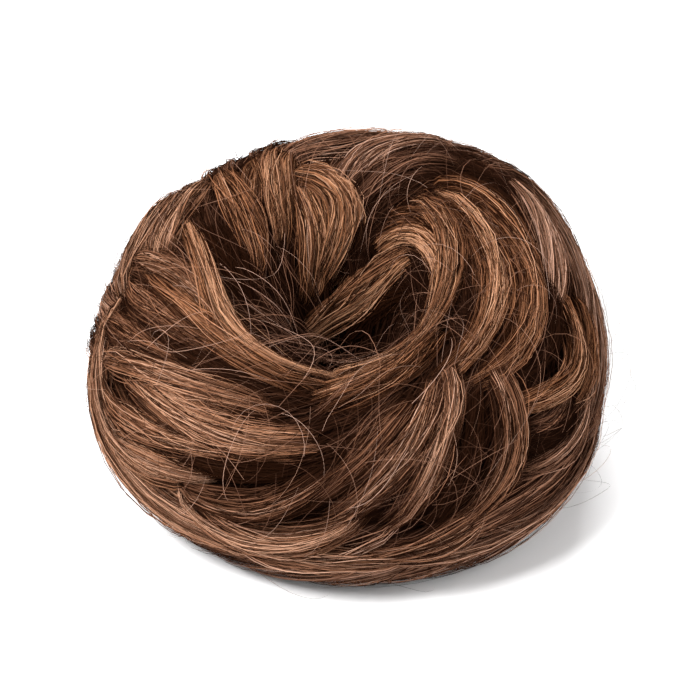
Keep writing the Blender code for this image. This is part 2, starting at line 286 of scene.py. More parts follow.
FRONT_LOCKS = [
    Lock("front_dip", (220, 239, 254, 276), (6, 12, 22, 60), 8.0, 7.0, 0.6, 8, (0.3, 0.45, 0.5)),
    Lock("front_low", (220, 242, 260, 278), (10, -3, 2, 24), 7.5, 7.0, 1.2, 8, (0.55, 0.85, 0.7)),
    Lock("rim_left", (160, 188, 216, 268), (34, 8, -9, -15), 12.0, 8.0, 1.0, 6, (0.9, 1.0, 0.85)),
    Lock("rim_fold", (150, 176, 200, 236), (18, -2, -16, -20), 9.0, 8.0, 0.4, 6, (0.75, 0.85, 0.7)),
    Lock("rim_front", (236, 252, 270, 294), (-14, -12, -12, -14), 9.0, 8.0, 0.6, 4, (0.6, 0.7, 0.6)),
    Lock("fan_left", (298, 284, 272, 254), (84, 64, 44, 12), 7.0, 6.0, 0.2, -6, (0.4, 0.4, 0.3)),
    Lock("fan_grey", (310, 295, 281, 260), (94, 64, 38, 2), 8.0, 7.0, 1.0, -6, (0.5, 0.7, 0.5)),
    Lock("fan_bright", (314, 303, 292, 278), (98, 66, 38, 2), 6.0, 6.0, 1.2, -6, (0.6, 0.9, 0.6)),
    # fan_shade and fan_dark are painted shade: dark tones between the fan's locks.
    Lock("fan_shade", (300, 288, 275, 260), (86, 68, 52, 32), 7.0, 6.0, -0.7, -6, (-0.2, -0.2, -0.2)),
    Lock("fan_dark", (318, 306, 298, 284), (82, 54, 30, -2), 8.0, 7.0, -0.4, -6, (-0.1, 0.0, -0.1)),
    Lock("fan_right", (326, 318, 308, 284), (88, 50, 22, -6), 8.0, 7.0, 0.8, -6, (0.75, 0.6, 0.4)),
    Lock("fan_lower", (308, 298, 286, 268), (14, 4, -4, -10), 8.0, 7.0, 0.6, -6, (0.4, 0.5, 0.4)),
]
RIGHT_LOCKS = [
    Lock("lower_hook", (-12, -24, -36, -52), (30, 17, 15, 20), 6.0, 6.0, 1.0, -10, (0.4, 0.65, 0.5)),
    Lock("hook_under", (-18, -28, -36, -46), (34, 31, 33, 40), 6.0, 5.0, 0.0, -8, (0.2, 0.35, 0.2)),
    Lock("right_low", (-16, -36, -55, -76), (10, 9, 6, -6), 8.0, 7.0, 0.6, -6, (0.4, 0.5, 0.3)),
    Lock("rim_right", (2, -27, -58, -96), (12, -8, -10, -14), 10.0, 8.0, 0.8, -6, (0.6, 0.65, 0.5)),
    # The next three rows are lighter as painted light, for the light that shines through the right rim.
    Lock("right_outer", (42, 24, 6, -10), (66, 64, 61, 56), 9.0, 7.0, 0.6, -8, (0.7, 0.75, 0.6)),
    Lock("right_rim", (62, 38, 14, -8), (58, 47, 38, 22), 11.0, 8.0, 0.8, -8, (0.9, 1.0, 0.85)),
    Lock("right_edge", (46, 20, -4, -30), (38, 28, 14, 0), 10.0, 8.0, 0.6, -8, (0.85, 0.9, 0.75)),
    Lock("back_over", (98, 84, 70, 50), (116, 98, 84, 66), 10.0, 7.0, 1.2, -6, (0.7, 0.85, 0.6)),
    Lock("back_middle", (90, 76, 60, 40), (120, 106, 94, 80), 9.0, 7.0, 0.4, -6, (0.3, 0.45, 0.3)),
    Lock("back_top", (118, 100, 84, 62), (86, 80, 74, 58), 12.0, 7.0, 0.6, -6, (0.7, 0.85, 0.75)),
    # The rows from here down are painted shade: dark tones in the pits, the hole and the gaps between locks.
    Lock("back_shade", (84, 70, 56, 44), (126, 116, 104, 94), 9.0, 6.0, -1.2, -6, (-0.1, 0.0, -0.1)),
    Lock("crown_shade", (128, 134, 140, 156), (88, 104, 120, 142), 9.0, 6.0, -1.2, 0, (-0.2, -0.2, -0.2)),
    Lock("hole_left", (176, 196, 222, 262), (104, 122, 130, 122), 12.0, 6.0, -0.8, 4, (-0.3, -0.1, 0.0)),
    Lock("hole_right", (70, 38, 6, -44), (142, 134, 132, 136), 11.0, 5.0, -1.0, 0, (-0.4, -0.4, -0.4)),
    Lock("crown_pit", (92, 84, 78, 76), (116, 130, 142, 160), 10.0, 6.0, -0.2, 0, (-0.3, -0.3, -0.3)),
    Lock("swirl_gap", (26, 2, -18, -44), (107, 106, 101, 95), 6.0, 5.0, -0.2, -8, (-0.2, -0.1, -0.2)),
    Lock("arc_gap", (34, 10, -12, -36), (102, 89, 79, 80), 5.0, 5.0, -0.2, -8, (-0.2, -0.1, -0.2)),
    Lock("side_gap", (14, -6, -22, -40), (76, 62, 57, 64), 8.0, 5.0, -0.4, -8, (-0.4, -0.4, -0.3)),
    Lock("hook_gap", (-8, -22, -34, -46), (36, 26, 24, 30), 6.0, 5.0, -0.2, -8, (-0.3, -0.3, -0.3)),
]

print("locks read by eye", sum(map(len, LOOSE_LOCKS.values())), "loose,", end=" ")
print(len(LEFT_LOCKS) + len(FRONT_LOCKS) + len(RIGHT_LOCKS), "of the ring")

# %% [markdown]
# ## Locks in regular rows
# The photograph doesn't show the far side, the skirt and the hole's wall. There the hair goes on
# with the same slant, so a few loops lay the locks out evenly, with tones that take turns, each a
# little darker at both edges as painted shade. The coat lies below all the others and fills what
# shows between them; its dark tone is painted shade, and so is the lining's darker one in the hole.

# %% Locks in regular rows
# Painted shade: how much darker a row's edges are.
EDGE_STEP = 0.12
BACK_COUNT = 11
BACK_FIRST = 190
BACK_STEP = -14
BACK_TONES = (0.5, 0.75, 0.55, 0.8)
FAR_LEFT = 140
SKIRT_COUNT = 24
SKIRT_FIRST = 4
SKIRT_TONES = (0.6, 0.75, 0.65)
LINING_COUNT = 10
# Painted shade: the hole's lining is dark for the shade inside the hole.
LINING_TONE = 0.05
COAT_COUNT = 26
# Painted shade: the coat is dark for the shade below the locks.
COAT_TONE = 0.12


def even(tone):
    """Tones of a lock with painted shade: a little darker at both edges."""
    return (tone - EDGE_STEP, tone, tone - EDGE_STEP)


def back_locks():
    """The far side, which turns the same way as the front. Its first rows start low, behind others."""
    rows = []
    for i in range(BACK_COUNT):
        turn = BACK_FIRST + i * BACK_STEP
        turns = (turn, turn - 14, turn - 27, turn - 38)
        high = 84 - 3 * (i % 3) if turn < FAR_LEFT else 34
        rises = (high, 0.6 * high, 20 if turn < FAR_LEFT else 8, -18)
        proud = 0.2 + 0.5 * (i % 3)
        tones = even(BACK_TONES[i % 4])
        rows.append(Lock(f"back_{i}", turns, rises, 18.0 - i % 2, 9.0, proud, -7, tones))
    return rows


def skirt_locks():
    """Low rows under the rim, which the bun rests on."""
    rows = []
    for i in range(SKIRT_COUNT):
        turn = SKIRT_FIRST + i * 360 / SKIRT_COUNT
        turns = (turn, turn - 20, turn - 40, turn - 58)
        rises = (8, -14, -34, -58)
        tones = even(SKIRT_TONES[i % 3])
        rows.append(Lock(f"skirt_{i}", turns, rises, 17.0, 8.5, -0.4, -4, tones))
    return rows


def lining_locks():
    """Rows that line the hole, down to the elastic band."""
    rows = []
    for i in range(LINING_COUNT):
        turn = i * 360 / LINING_COUNT
        turns = (turn, turn + 10, turn + 22, turn + 34)
        rises = (118, 146, 176, 208)
        rows.append(Lock(f"lining_{i}", turns, rises, 10.0, 6.5, -0.4, 0, even(LINING_TONE)))
    return rows


def coat_locks():
    """Wide flat rows that slant over the whole ring, below the other locks."""
    rows = []
    for i in range(COAT_COUNT):
        turn = i * 360 / COAT_COUNT
        turns = (turn + 100, turn + 56, turn, turn - 66)
        rises = (172, 122, 66, 4)
        rows.append(Lock(f"coat_{i}", turns, rises, 22.0, 6.0, -1.9, 0, even(COAT_TONE)))
    return rows


print("locks in rows", BACK_COUNT + SKIRT_COUNT + LINING_COUNT + COAT_COUNT)

# %% [markdown]
# ## Where a lock runs
# A cubic curve through the four rows of turn and rise gives a lock's middle line. Its section is a
# lens that lies on the bun, rolled a little so that one edge lies over the next lock, and it
# narrows and sinks in towards both ends. A curve object could hold such a path too, but the strands
# also need to know which way is across and which way is out, so it is worked out here.

# %% Where a lock runs
TIP_WIDTH = 0.45
TIP_DEPTH = 0.60
TIP_TUCK = 0.90
TIP_SHARE = 0.16
SWELL_POWER = 0.7


def through(values, t):
    """The cubic curve through four evenly spaced values, at t from 0 to 1."""
    total = np.zeros_like(t)
    for i, value in enumerate(values):
        weight = np.ones_like(t)
        for j in range(4):
            if j != i:
                weight *= (3 * t - j) / (i - j)
        total += value * weight
    return total


def lock_line(lock, t):
    """Turn, rise and middle points of a lock at each t."""
    turn = np.radians(through(lock.turns, t))
    rise = np.radians(through(lock.rises, t))
    sunk = np.clip(1 - np.minimum(t, 1 - t) / TIP_SHARE, 0, 1) ** 2
    lift = lock.proud - lock.depth / 2 - sunk * lock.depth * TIP_TUCK
    return turn, rise, bun_points(turn, rise, lift / 1000)


LockFrame = namedtuple("LockFrame", "middle side up half_width half_depth")


def lock_frame(lock, t):
    """Middle points, directions and half sizes of a lock's section at each t."""
    step = 0.01
    turn, rise, middle = lock_line(lock, t)
    ahead = unit(lock_line(lock, t + step)[2] - lock_line(lock, t - step)[2])
    out = bun_normals(turn, rise)
    out = unit(out - ahead * np.sum(out * ahead, -1, keepdims=True))
    across = np.cross(ahead, out)
    roll = math.radians(lock.roll)
    side = across * math.cos(roll) + out * math.sin(roll)
    up = out * math.cos(roll) - across * math.sin(roll)
    swell = np.sin(np.pi * np.clip(t, 0.02, 0.98)) ** SWELL_POWER
    half_width = lock.width / 2000 * (TIP_WIDTH + (1 - TIP_WIDTH) * swell)
    half_depth = lock.depth / 2000 * (TIP_DEPTH + (1 - TIP_DEPTH) * swell)
    return LockFrame(middle, side, up, half_width[:, None], half_depth[:, None])


def lock_steps(lock):
    """The steps between points along a lock's middle line."""
    return np.diff(lock_frame(lock, np.linspace(0, 1, 25)).middle, axis=0)


swirl_length = np.linalg.norm(lock_steps(LOOSE_LOCKS["swirl_lock"][0]), axis=1).sum()
print("the swirl's main lock is", round(swirl_length * 1000), "mm long")

# %% [markdown]
# ## Guides
# A lock of real hair falls into small bundles that cross and part a little. Each bundle gets one
# guide, a line of points over the lock's upper side. Attributes on the points say which way is
# across and which way is out, how wide the bundle is there, and its tone. Both ends sink into the
# hair below, so that no strand starts in the open; a few thin wisps run over the others and end
# free.

# %% Guides
SEED = 7
BUNDLE_STEP = 0.9
BUNDLE_RADIUS = 0.0013
END_SHARE = 0.30
END_DEPTH = 0.0014
# Painted shade at the ends and at the edges of a lock.
END_SHADE = 0.35
EDGE_SHADE = 0.22
STAGGER = 0.13
DRIFT = 0.32
WAVE = 0.08
LAYERS = (0.76, 1.06)
UNEVEN_TONE = 0.10
WISP_SHARE = 0.04
WISP_STRANDS = 4
WISP_FINENESS = 0.5
WISP_DRIFT = 0.4
WISP_LAYERS = (1.05, 1.2)
rng = np.random.default_rng(SEED)
Guide = namedtuple("Guide", "places across out spread tone fine strands")


def points_needed(lock):
    """More points for a longer lock and for a more curved one."""
    steps = lock_steps(lock)
    length = np.linalg.norm(steps, axis=1).sum() * 1000
    bends = np.sum(unit(steps)[1:] * unit(steps)[:-1], axis=1)
    bend = np.degrees(np.arccos(np.clip(bends, -1, 1))).sum()
    return int(np.clip(round(2.5 + bend / 24 + length / 18), 6, 13))


def lock_guides(lock, strands, bundle_step=BUNDLE_STEP):
    """The guides of one lock."""
    rows = []
    count = points_needed(lock)
    bundles = round(lock.width / bundle_step)
    for k in range(bundles):
        wisp = rng.random() < WISP_SHARE
        start = rng.uniform(-0.05, STAGGER)
        end = 1 - rng.uniform(-0.05, STAGGER)
        t = np.linspace(start, end, count)
        section = lock_frame(lock, t)
        home = -1 + 2 * (k + rng.uniform(0.0, 1.0)) / bundles
        drift = rng.normal(0, WISP_DRIFT if wisp else DRIFT) * (t - 0.5) * 2
        wave = WAVE * np.sin(2 * np.pi * (t * rng.uniform(0.7, 1.6) + rng.uniform()))
        place = np.clip(home + drift + wave, -1.4, 1.4)[:, None]
        layer = rng.uniform(*(WISP_LAYERS if wisp else LAYERS))
        height = np.sqrt(np.clip(1 - place**2, 0.04, 1)) * layer
        points = section.middle + section.side * section.half_width * place
        points = points + section.up * section.half_depth * height
        share = np.linspace(0, 1, count)
        near = np.minimum(share, 1 - share)
        ends = np.clip(1 - near / END_SHARE, 0, 1)
        tone = np.interp(place[:, 0], (-1, 0, 1), lock.tones) + rng.normal(0, UNEVEN_TONE)
        # Painted shade: darker towards the lock's edges.
        tone = tone - EDGE_SHADE * np.clip(np.abs(place[:, 0]), 0, 1) ** 3
        fine, number = np.ones(count), strands
        if wisp:
            fine, number = fine * WISP_FINENESS, min(strands, WISP_STRANDS)
        else:
            points = points - section.up * (ends**2 * END_DEPTH)[:, None]
            # Painted shade: darker where the ends sink into the hair below.
            tone = tone - ends * END_SHADE
        bundle = 0.4 + 0.6 * (section.half_width[:, 0] / section.half_width.max())
        spread = bundle * BUNDLE_RADIUS
        rows.append(Guide(points, section.side, section.up, spread, tone, fine, number))
    return rows


print("a guide of that lock has", points_needed(LOOSE_LOCKS["swirl_lock"][0]), "points")

# %% [markdown]
# ## A helper for node trees
# A tree built in code is mostly adding nodes and filling their sockets. This class does both in one
# call, in Geometry Nodes and in shaders: what is given to a node is either another node's socket,
# which gets linked, or a plain value, which is set.

# %% A helper for node trees


class Tree:
    """A short way to add nodes to a tree and link them."""

    def __init__(self, tree):
        self.tree = tree

    def add(self, kind, *inputs, **settings):
        node = self.tree.nodes.new(kind)
        for key, value in settings.items():
            setattr(node, key, value)
        live = [s for s in node.inputs if s.enabled]
        for socket, value in zip(live, inputs):
            self.put(socket, value)
        return [s for s in node.outputs if s.enabled][0]

    def put(self, socket, value):
        if value is None:
            return
        if isinstance(value, bpy.types.NodeSocket):
            self.tree.links.new(value, socket)
        else:
            socket.default_value = value

    def maths(self, operation, *inputs):
        return self.add("ShaderNodeMath", *inputs, operation=operation)

    def vectors(self, operation, *inputs):
        return self.add("ShaderNodeVectorMath", *inputs, operation=operation)

    def times(self, vector, number):
        node = self.tree.nodes.new("ShaderNodeVectorMath")
        node.operation = "SCALE"
        self.put(node.inputs["Vector"], vector)
        self.put(node.inputs["Scale"], number)
        return node.outputs["Vector"]

    def noise(self, place, scale, detail):
        node = self.tree.nodes.new("ShaderNodeTexNoise")
        self.put(node.inputs["Vector"], place)
        self.put(node.inputs["Scale"], scale)
        self.put(node.inputs["Detail"], detail)
        return node

    def read(self, name, kind="FLOAT"):
        return self.add("GeometryNodeInputNamedAttribute", name, data_type=kind)

    def store(self, shape, name, value, kind="FLOAT", domain="POINT"):
        return self.add(
            "GeometryNodeStoreNamedAttribute", shape, None, name, value, data_type=kind, domain=domain
        )

    def random(self, low, high, seed):
        return self.add("FunctionNodeRandomValue", low, high, None, seed, data_type="FLOAT")


print("helper calls", [name for name in vars(Tree) if name[0] != "_"])

# %% [markdown]
# ## One strand in its bundle
# Each guide becomes a curve, copied once for every strand. Every copy keeps a few random numbers of
# its own. They say where it lies in the bundle, how it wanders, and how loose it is. A particle
# system could grow hair too, but nodes keep each number under a name and end in a plain mesh.

# %% One strand in its bundle
STRAND_RANDOM = {
    # name: lowest, highest
    "angle": (0.0, 2 * math.pi),
    "far": (0.0, 1.0),
    "shift_x": (0.0, 90.0),
    "shift_y": (0.0, 90.0),
    "tint": (0.0, 1.0),
    "head": (0.0, 0.05),
    "tail": (0.88, 1.0),
    "loose": (0.0, 1.0),
    "thick": (0.7, 1.3),
    "twist": (-0.8, 0.8),
}
LOOSE_POWER = 6.0
LOOSE_REACH = 4.0
END_REACH = 0.3
FAR_POWER = 0.6
BUNDLE_HEIGHT = 0.7
FLATNESS = 0.75


def keep_random_numbers(t, curves, seed):
    """Random numbers of each strand, kept on its curve."""
    for i, (name, (low, high)) in enumerate(STRAND_RANDOM.items()):
        value = t.random(low, high, t.maths("ADD", seed, float(i)))
        curves = t.store(curves, name, value, domain="CURVE")
    return curves


def across_and_out(t, side, out):
    """A vector so far across the lock and so far out of it."""
    across = t.times(t.read("across", "FLOAT_VECTOR"), side)
    return t.vectors("ADD", across, t.times(t.read("out", "FLOAT_VECTOR"), out))


def bundle_offset(t, given, loose, swell):
    """From the guide to the strand's own place in the bundle."""
    far = t.maths("POWER", t.read("far"), FAR_POWER)
    spread = t.maths("MULTIPLY", far, t.read("spread"))
    side = t.maths("MULTIPLY", t.maths("COSINE", t.read("angle")), spread)
    out = t.maths("MULTIPLY", t.maths("SINE", t.read("angle")), spread)
    lifted = t.maths("MULTIPLY", t.maths("MULTIPLY", loose, swell), given["Loose lift"])
    return across_and_out(t, side, t.maths("MULTIPLY_ADD", out, BUNDLE_HEIGHT, lifted))


def slow_wander(t, given, loose, swell):
    """A slow wander, mostly sideways, and widest in the middle of a loose strand."""
    here = t.add("GeometryNodeInputPosition")
    shift = t.add("ShaderNodeCombineXYZ", t.read("shift_x"), t.read("shift_y"), 0.0)
    place = t.times(here, t.maths("DIVIDE", 1.0, given["Wander size"]))
    noise = t.noise(t.vectors("ADD", place, shift), 1.0, 0.0)
    wander = t.vectors("SUBTRACT", noise.outputs["Color"], (0.5, 0.5, 0.5))
    reach = t.maths("MULTIPLY_ADD", loose, LOOSE_REACH, 1.0)
    middle = t.maths("MULTIPLY_ADD", swell, 1.0 - END_REACH, END_REACH)
    reach = t.maths("MULTIPLY", reach, middle)
    wander = t.times(wander, t.maths("MULTIPLY", given["Wander"], reach))
    up = t.read("out", "FLOAT_VECTOR")
    height = t.maths("MULTIPLY", t.vectors("DOT_PRODUCT", wander, up), FLATNESS)
    return t.vectors("SUBTRACT", wander, t.times(up, height))


def keep_above_floor(t, curves):
    """Nothing sinks into the surface that the bun rests on."""
    axes = t.tree.nodes.new("ShaderNodeSeparateXYZ")
    t.put(axes.inputs[0], t.add("GeometryNodeInputPosition"))
    height = t.maths("MAXIMUM", axes.outputs["Z"], FLOOR_CLEARANCE)
    held = t.add("ShaderNodeCombineXYZ", axes.outputs["X"], axes.outputs["Y"], height)
    return t.add("GeometryNodeSetPosition", curves, None, held)


print("numbers kept on a strand", list(STRAND_RANDOM))

# %% [markdown]
# ## A strand's surface
# A strand is a narrow flat band that thins towards its tip and is twisted a little. It is a fifth
# of a millimetre across, about two fibres, where a flat band looks like a round one with a third of
# the faces. Its tone is the guide's, lighter or darker by a random amount, and dark locks vary
# less. The map named OFBake gives every strand a small cell of its own.

# %% A strand's surface
STRAND_RADIUS = 0.00009
TAPER = 0.6
TAPER_POWER = 3.0
TINT_LOW = -0.75
TINT_RANGE = 1.25
DARK_TINT = 0.4
DARK_SLOPE = 1.2
WARMTH_RANGE = 0.3
CELLS_ACROSS = 128
CELL_USED = (0.8, 0.9)


def flat_strands(t, given, curves):
    """Trims the curves and sweeps a flat section along them."""
    curves = t.add("GeometryNodeTrimCurve", curves, None, t.read("head"), t.read("tail"), mode="FACTOR")
    along = t.add("GeometryNodeSplineParameter")
    curves = t.store(curves, "along", along)
    curves = t.store(curves, "strand", t.add("GeometryNodeInputIndex"), kind="INT", domain="CURVE")
    thin = t.maths("MULTIPLY", t.maths("POWER", along, TAPER_POWER), TAPER)
    thin = t.maths("SUBTRACT", 1.0, thin)
    thin = t.maths("MULTIPLY", thin, t.maths("MULTIPLY", t.read("thick"), t.read("fine")))
    radius = t.maths("MULTIPLY", given["Strand radius"], thin)
    twist = t.read("twist")
    facing = across_and_out(t, t.maths("COSINE", twist), t.maths("SINE", twist))
    curves = t.add("GeometryNodeSetCurveNormal", curves, None, facing, mode="FREE")
    flat = t.add("GeometryNodeCurvePrimitiveLine", (-1.0, 0.0, 0.0), (1.0, 0.0, 0.0))
    flat = t.store(flat, "side", t.add("GeometryNodeSplineParameter"))
    return t.add("GeometryNodeCurveToMesh", curves, flat, radius)


def store_map(t, given, mesh):
    """The map: a cell for each strand, in rows."""
    column = t.maths("MODULO", t.read("strand"), float(CELLS_ACROSS))
    row = t.maths("FLOOR", t.maths("DIVIDE", t.read("strand"), float(CELLS_ACROSS)))
    wide, tall = CELL_USED
    u = t.maths("ADD", column, t.maths("MULTIPLY_ADD", t.read("side"), wide, (1 - wide) / 2))
    v = t.maths("ADD", row, t.maths("MULTIPLY_ADD", t.read("along"), tall, (1 - tall) / 2))
    u = t.maths("DIVIDE", u, float(CELLS_ACROSS))
    v = t.maths("DIVIDE", v, given["Map rows"])
    return t.store(mesh, "OFBake", t.add("ShaderNodeCombineXYZ", u, v, 0.0), "FLOAT2", "CORNER")


def store_finish(t, given, mesh):
    """The tone and the warmth that the material reads."""
    tint = t.maths("MULTIPLY_ADD", t.read("tint"), TINT_RANGE, TINT_LOW)
    # Locks painted dark as shade vary less, so that they stay dark.
    calm = t.maths("MULTIPLY_ADD", t.read("tone"), DARK_SLOPE, DARK_TINT)
    calm = t.maths("MINIMUM", t.maths("MAXIMUM", calm, DARK_TINT), 1.0)
    tint = t.maths("MULTIPLY", t.maths("MULTIPLY", tint, given["Tint"]), calm)
    mesh = t.store(mesh, "tone", t.maths("ADD", tint, t.read("tone")))
    warm = t.maths("MULTIPLY_ADD", t.read("far"), WARMTH_RANGE, given["Warmth"])
    return t.store(mesh, "warmth", warm)


print("a strand is", round(STRAND_RADIUS * 2000, 2), "mm wide")

# %% [markdown]
# ## The strand tree
# The tree puts these steps in order. Its inputs are the sizes that differ from piece to piece, so
# one tree serves the ring, the loose locks and the strays. It ends by making real geometry of the
# copies and giving it the material, because an export drops instances.

# %% The strand tree
SIZES = {
    "Strand radius": STRAND_RADIUS,
    "Tint": 1.0,
    "Warmth": 0.6,
    "Wander": 0.0021,
    "Wander size": 0.022,
    "Loose lift": 0.0010,
    "Map rows": 1.0,
}


def strand_tree():
    """Makes the tree that turns guides into strands."""
    tree = bpy.data.node_groups.new("strands", "GeometryNodeTree")
    face = tree.interface
    face.new_socket("Geometry", in_out="INPUT", socket_type="NodeSocketGeometry")
    for name, value in SIZES.items():
        face.new_socket(name, in_out="INPUT", socket_type="NodeSocketFloat").default_value = value
    face.new_socket("Seed", in_out="INPUT", socket_type="NodeSocketInt").default_value = SEED
    face.new_socket("Material", in_out="INPUT", socket_type="NodeSocketMaterial")
    face.new_socket("Geometry", in_out="OUTPUT", socket_type="NodeSocketGeometry")
    t = Tree(tree)
    given = tree.nodes.new("NodeGroupInput").outputs

    curves = t.add("GeometryNodeMeshToCurve", given["Geometry"])
    curves = t.add("GeometryNodeDuplicateElements", curves, None, t.read("strands"), domain="SPLINE")
    curves = keep_random_numbers(t, curves, given["Seed"])
    along = t.add("GeometryNodeSplineParameter")
    swell = t.maths("SINE", t.maths("MULTIPLY", along, math.pi))
    loose = t.maths("POWER", t.read("loose"), LOOSE_POWER)
    offset = bundle_offset(t, given, loose, swell)
    move = t.vectors("ADD", offset, slow_wander(t, given, loose, swell))
    curves = t.add("GeometryNodeSetPosition", curves, None, None, move)
    mesh = flat_strands(t, given, keep_above_floor(t, curves))
    mesh = store_finish(t, given, store_map(t, given, mesh))
    mesh = t.add("GeometryNodeSetShadeSmooth", mesh)
    mesh = t.add("GeometryNodeRealizeInstances", mesh)
    mesh = t.add("GeometryNodeSetMaterial", mesh, None, given["Material"])
    end = tree.nodes.new("NodeGroupOutput")
    tree.links.new(mesh, end.inputs["Geometry"])
    return tree


STRANDS = strand_tree()
SOCKETS = {s.name: s.identifier for s in STRANDS.interface.items_tree if s.in_out == "INPUT"}
print("strand tree", len(STRANDS.nodes), "nodes, inputs", list(SOCKETS))

# %% [markdown]
# ## From guides to a piece
# Guides go into Blender as a mesh of edges whose points carry the attributes. The modifier runs the
# tree on them, and its result is taken as a plain mesh with only the attributes that the material
# and the map need, so that nothing is left to work out later.

# %% From guides to a piece
KEPT_ATTRIBUTES = {"tone", "warmth", "OFBake", "material_index", "sharp_face"}


def guide_object(name, guides):
    """A mesh of guide lines with their attributes."""
    edges, first = [], 0
    for g in guides:
        edges += [(first + i, first + i + 1) for i in range(len(g.places) - 1)]
        first += len(g.places)
    mesh = bpy.data.meshes.new(name)
    mesh.from_pydata(np.concatenate([g.places for g in guides]), edges, [])
    for key in ("across", "out"):
        data = mesh.attributes.new(key, "FLOAT_VECTOR", "POINT").data
        data.foreach_set("vector", np.concatenate([getattr(g, key) for g in guides]).ravel())
    for key in ("spread", "tone", "fine"):
        data = mesh.attributes.new(key, "FLOAT", "POINT").data
        data.foreach_set("value", np.concatenate([getattr(g, key) for g in guides]))
    strands = np.concatenate([np.full(len(g.places), g.strands) for g in guides])
    mesh.attributes.new("strands", "FLOAT", "POINT").data.foreach_set("value", strands)
    obj = bpy.data.objects.new(name, mesh)
    bpy.context.scene.collection.objects.link(obj)
    return obj


def bake_modifiers(obj):
    """Turns the object's evaluated result into its own plain mesh."""
    graph = bpy.context.evaluated_depsgraph_get()
    graph.update()
    mesh = bpy.data.meshes.new_from_object(obj.evaluated_get(graph))
    obj.modifiers.clear()
    obj.data = mesh
    for name in [a.name for a in mesh.attributes]:
        attribute = mesh.attributes[name]
        if not attribute.is_required and not attribute.is_internal and name not in KEPT_ATTRIBUTES:
            mesh.attributes.remove(attribute)


triangles = {}


def make_strands(name, guides, material, **sizes):
    """A piece of hair: its guides, turned into strands."""
    obj = guide_object(name, guides)
    modifier = obj.modifiers.new("strands", "NODES")
    modifier.node_group = STRANDS
    modifier[SOCKETS["Material"]] = material
    total = sum(g.strands for g in guides)
    modifier[SOCKETS["Map rows"]] = float(math.ceil(total / CELLS_ACROSS))
    for key, value in sizes.items():
        modifier[SOCKETS[key.replace("_", " ").capitalize()]] = value
    bake_modifiers(obj)
    triangles[name] = sum(len(p.vertices) - 2 for p in obj.data.polygons)
    print(name, "strands", total, "triangles", triangles[name])
    return obj


print("kept on a finished piece", sorted(KEPT_ATTRIBUTES))

# %% [markdown]
# ## Hair colour
# The fibre is dyed in tones from dark brown to caramel, some locks more coppery and some more ash;
# the ash of the outer rows is partly dye and partly painted sheen. One shader group turns a tone and
# a warmth into a colour, for strands and body alike. Inside it, a soft noise in space shifts the
# tone, because dye never takes evenly. A painted picture could do the same, but a formula has no
# seams and stays sharp at any distance. The finish is matt, because at a glancing angle a gloss
# would turn the dark strands grey; the lightest tone is paler and greyer instead, a painted sheen.

# %% Hair colour
TONE_STOPS = [
    # place, colour
    (0.00, (0.012, 0.0044, 0.0021)),
    (0.30, (0.047, 0.0195, 0.0100)),
    (0.60, (0.135, 0.0610, 0.0330)),
    (0.85, (0.245, 0.1150, 0.0620)),
    # Painted sheen: this top stop is paler and greyer than the rest.
    (1.10, (0.410, 0.2350, 0.1500)),
]
TONE_TOP = 1.10
DYE_PATCH = 0.016
GLOSS_TINT = (1.0, 0.72, 0.52, 1)
HAIR_ROUGHNESS = 0.5
HAIR_UNEVENNESS = 0.35
# Ash: partly the dye, partly painted sheen on the outer rows.
ASH = (0.98, 1.08, 1.32, 1)
COPPER = (1.04, 0.89, 0.70, 1)
DEPTH_WARMTH = 0.4


def colour_group():
    """Shader group: tone and place in, colour out."""
    group = bpy.data.node_groups.new("hair_colour", "ShaderNodeTree")
    face = group.interface
    face.new_socket("Tone", in_out="INPUT", socket_type="NodeSocketFloat")
    face.new_socket("Place", in_out="INPUT", socket_type="NodeSocketVector")
    face.new_socket("Unevenness", in_out="INPUT", socket_type="NodeSocketFloat")
    face.new_socket("Warmth", in_out="INPUT", socket_type="NodeSocketFloat")
    face.new_socket("Color", in_out="OUTPUT", socket_type="NodeSocketColor")
    t = Tree(group)
    given = group.nodes.new("NodeGroupInput").outputs
    noise = t.noise(given["Place"], 1 / DYE_PATCH, 2.0)
    shift = t.maths("MULTIPLY", t.maths("SUBTRACT", noise.outputs["Fac"], 0.5), given["Unevenness"])
    tone = t.maths("DIVIDE", t.maths("ADD", given["Tone"], shift), TONE_TOP)
    ramp = group.nodes.new("ShaderNodeValToRGB")
    points = ramp.color_ramp.elements
    while len(points) < len(TONE_STOPS):
        points.new(0.5)
    for point, (place, colour) in zip(points, TONE_STOPS):
        point.position = place / TONE_TOP
        point.color = (*colour, 1)
    t.put(ramp.inputs["Fac"], tone)
    cast = t.add("ShaderNodeMix", given["Warmth"], ASH, COPPER, data_type="RGBA")
    end = group.nodes.new("NodeGroupOutput")
    group.links.new(t.vectors("MULTIPLY", ramp.outputs["Color"], cast), end.inputs["Color"])
    return group


COLOUR = colour_group()
print("colour group", [socket.name for socket in COLOUR.interface.items_tree])

# %% [markdown]
# ## Hair material
# A strand's material only reads its two attributes and hands them to the group. The shader itself
# stays in the material, with its plain numbers on its own sockets.

# %% Hair material


def plain_material(name, roughness, specular):
    """A material and its tree, with one gloss all over."""
    material = bpy.data.materials.new(name)
    material.use_nodes = True
    shader = material.node_tree.nodes["Principled BSDF"]
    shader.inputs["Roughness"].default_value = roughness
    shader.inputs["Specular IOR Level"].default_value = specular
    shader.inputs["Specular Tint"].default_value = GLOSS_TINT
    return material, Tree(material.node_tree), shader


def add_colour(t, tone, warmth, unevenness):
    """Places the colour group in a material."""
    place = t.tree.nodes.new("ShaderNodeTexCoord")
    node = t.tree.nodes.new("ShaderNodeGroup")
    node.node_tree = COLOUR
    t.put(node.inputs["Tone"], tone)
    t.put(node.inputs["Place"], place.outputs["Object"])
    t.put(node.inputs["Unevenness"], unevenness)
    t.put(node.inputs["Warmth"], warmth)
    return node.outputs["Color"]


